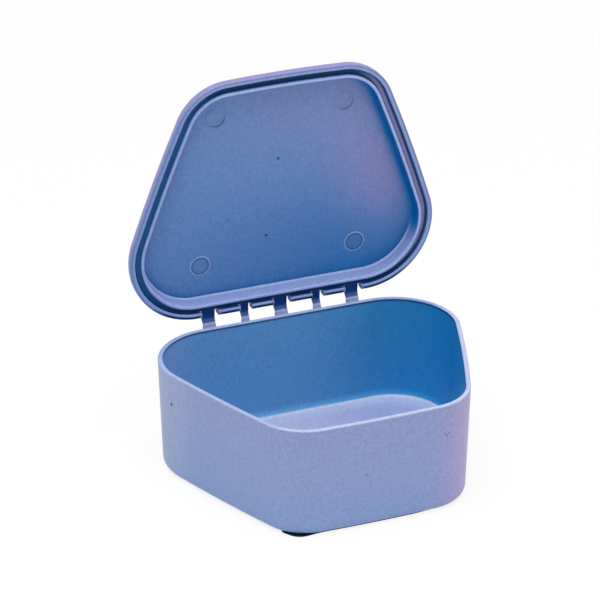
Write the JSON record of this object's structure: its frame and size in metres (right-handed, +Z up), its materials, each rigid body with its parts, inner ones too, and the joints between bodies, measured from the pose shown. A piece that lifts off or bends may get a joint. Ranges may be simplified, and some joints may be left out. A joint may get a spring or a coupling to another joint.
{
  "type": "hinged dental model box",
  "caption": "Small trapezoid plastic box with a film-hinged lid, standing open; holds a dental model, denture or appliance.",
  "frame": {"origin": "middle of the tub's flat underside, on the surface that it stands on", "axes": "+Z up, +Y from the front of the box to its hinge, +X to the right along the hinge"},
  "size_m": [0.0786, 0.0654, 0.0917],
  "materials": {
    "tub_plastic": "satin periwinkle blue polypropylene",
    "lid_plastic": "satin periwinkle blue polypropylene",
    "hinge_plastic": "satin blue polypropylene, worked smooth where it bends"
  },
  "bodies": {
    "tub": {"tub": "tub_plastic", "hinge_ledge_1": "hinge_plastic", "hinge_ledge_2": "hinge_plastic", "hinge_ledge_3": "hinge_plastic", "hinge_ledge_4": "hinge_plastic", "hinge_ledge_5": "hinge_plastic"},
    "lid": {"lid": "lid_plastic", "hinge_strap_1": "hinge_plastic", "hinge_strap_2": "hinge_plastic", "hinge_strap_3": "hinge_plastic", "hinge_strap_4": "hinge_plastic", "hinge_strap_5": "hinge_plastic"}
  },
  "joints": [
    {"name": "lid_hinge", "type": "hinge", "parent": "tub", "child": "lid", "pos_m": [0, 0.0325, 0.02815], "axis": [-1, 0, 0], "range_deg": [-87, 93]}
  ]
}
